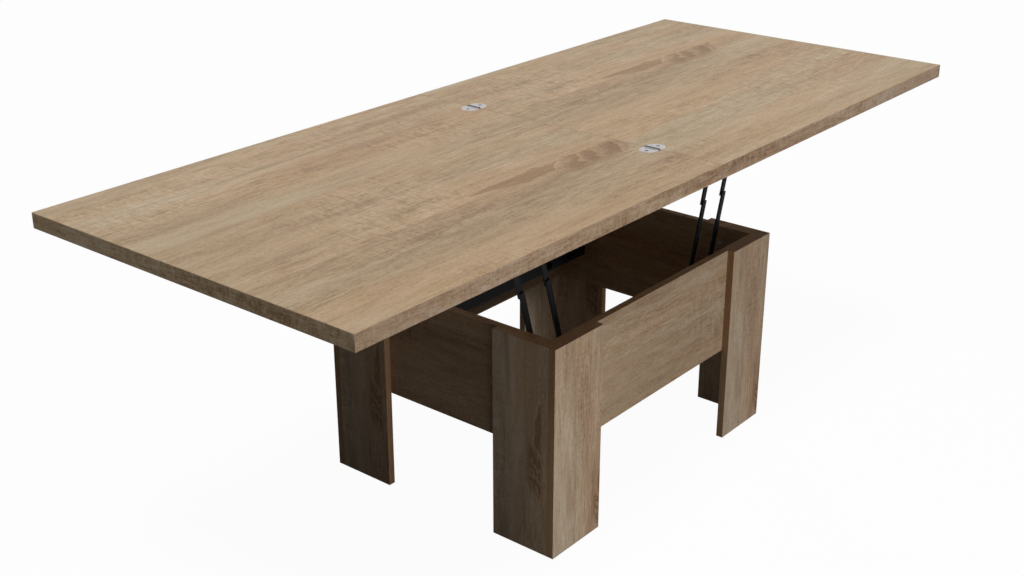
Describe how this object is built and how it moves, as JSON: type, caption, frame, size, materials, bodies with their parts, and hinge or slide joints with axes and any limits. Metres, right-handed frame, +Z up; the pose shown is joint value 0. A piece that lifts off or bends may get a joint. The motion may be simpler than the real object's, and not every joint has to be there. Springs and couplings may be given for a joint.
{
  "type": "lift-up folding dining table",
  "caption": "Oak-look table on corner-board legs whose top lifts on steel parallel arms and folds out from coffee-table height to a long dining top.",
  "frame": {"origin": "on the floor, under the middle of the opened top and of the base", "axes": "+X along the length of the opened top, towards the folding leaf; +Y towards the back; +Z up"},
  "size_m": [2, 0.8, 0.7436],
  "materials": {
    "oak_laminate": "satin laminate",
    "oak_edge": "satin edge band",
    "black_steel": "satin powder coat",
    "hinge_steel": "brushed nickel",
    "zinc_steel": "dark zinc",
    "dark_plastic": "matte"
  },
  "bodies": {
    "base": {"apron_back": "oak_laminate", "apron_dowels": "oak_edge", "apron_front": "oak_laminate", "apron_left": "oak_laminate", "apron_right": "oak_laminate", "bracket_bolts": "black_steel", "bracket_screws": "black_steel", "foot_glides": "dark_plastic", "leg_left_back_end_board": "oak_laminate", "leg_left_back_long_board": "oak_laminate", "leg_left_front_end_board": "oak_laminate", "leg_left_front_long_board": "oak_laminate", "leg_right_back_end_board": "oak_laminate", "leg_right_back_long_board": "oak_laminate", "leg_right_front_end_board": "oak_laminate", "leg_right_front_long_board": "oak_laminate", "leg_screws": "zinc_steel", "lower_rail_back": "black_steel", "lower_rail_front": "black_steel", "pivot_bolts": "black_steel", "pivot_nuts": "black_steel", "pivot_washers": "zinc_steel", "rail_bracket_left_back": "black_steel", "rail_bracket_left_front": "black_steel", "rail_bracket_right_back": "black_steel", "rail_bracket_right_front": "black_steel", "stop_pins": "black_steel"},
    "left_outer_arms": {"left_outer_arm_back": "black_steel", "left_outer_arm_front": "black_steel"},
    "left_inner_arms": {"left_inner_arm_back": "black_steel", "left_inner_arm_front": "black_steel"},
    "left_top": {"hinge_pins": "hinge_steel", "hinge_plate_left_back": "hinge_steel", "hinge_plate_left_front": "hinge_steel", "hinge_screws_left": "zinc_steel", "leaf_rail_back": "black_steel", "leaf_rail_front": "black_steel", "leaf_rail_screws": "zinc_steel", "leaf_rivets": "black_steel", "left_leaf": "oak_laminate", "left_leaf_edge_band": "oak_edge"},
    "right_top": {"hinge_plate_right_back": "hinge_steel", "hinge_plate_right_front": "hinge_steel", "hinge_screws_right": "zinc_steel", "right_leaf": "oak_laminate", "right_leaf_edge_band": "oak_edge"},
    "right_outer_arms": {"right_outer_arm_back": "black_steel", "right_outer_arm_front": "black_steel"},
    "right_inner_arms": {"right_inner_arm_back": "black_steel", "right_inner_arm_front": "black_steel"},
    "support_frame": {"slide_pads": "dark_plastic", "support_cross_bar_inner": "black_steel", "support_cross_bar_outer": "black_steel", "support_rail_back": "black_steel", "support_rail_front": "black_steel", "support_rivets": "black_steel"}
  },
  "joints": [
    {"name": "lift", "type": "hinge", "parent": "base", "child": "left_outer_arms", "pos_m": [-0.3022, 0, 0.304], "axis": [0, 1, 0], "range_deg": [0, 85.78]},
    {"name": "left_inner_swing", "type": "hinge", "parent": "base", "child": "left_inner_arms", "pos_m": [-0.2217, 0, 0.304], "axis": [0, 1, 0], "range_deg": [0, 85.78]},
    {"name": "left_top_level", "type": "hinge", "parent": "left_outer_arms", "child": "left_top", "pos_m": [-0.41671, 0, 0.699], "axis": [0, 1, 0], "range_deg": [-85.78, 0]},
    {"name": "right_outer_swing", "type": "hinge", "parent": "base", "child": "right_outer_arms", "pos_m": [0.3022, 0, 0.304], "axis": [0, 1, 0], "range_deg": [-85.78, 0]},
    {"name": "right_inner_swing", "type": "hinge", "parent": "base", "child": "right_inner_arms", "pos_m": [0.2217, 0, 0.304], "axis": [0, 1, 0], "range_deg": [-85.78, 0]},
    {"name": "support_level", "type": "hinge", "parent": "right_outer_arms", "child": "support_frame", "pos_m": [0.41671, 0, 0.699], "axis": [0, 1, 0], "range_deg": [0, 85.78]},
    {"name": "leaf_fold", "type": "hinge", "parent": "left_top", "child": "right_top", "pos_m": [0, 0, 0.7414], "axis": [0, -1, 0], "range_deg": [0, 180]}
  ],
  "couplings": [
    {"joint": "left_inner_swing", "follows": "lift", "ratio": 1},
    {"joint": "left_top_level", "follows": "lift", "ratio": -1},
    {"joint": "right_outer_swing", "follows": "lift", "ratio": -1},
    {"joint": "right_inner_swing", "follows": "lift", "ratio": -1},
    {"joint": "support_level", "follows": "lift", "ratio": 1}
  ]
}
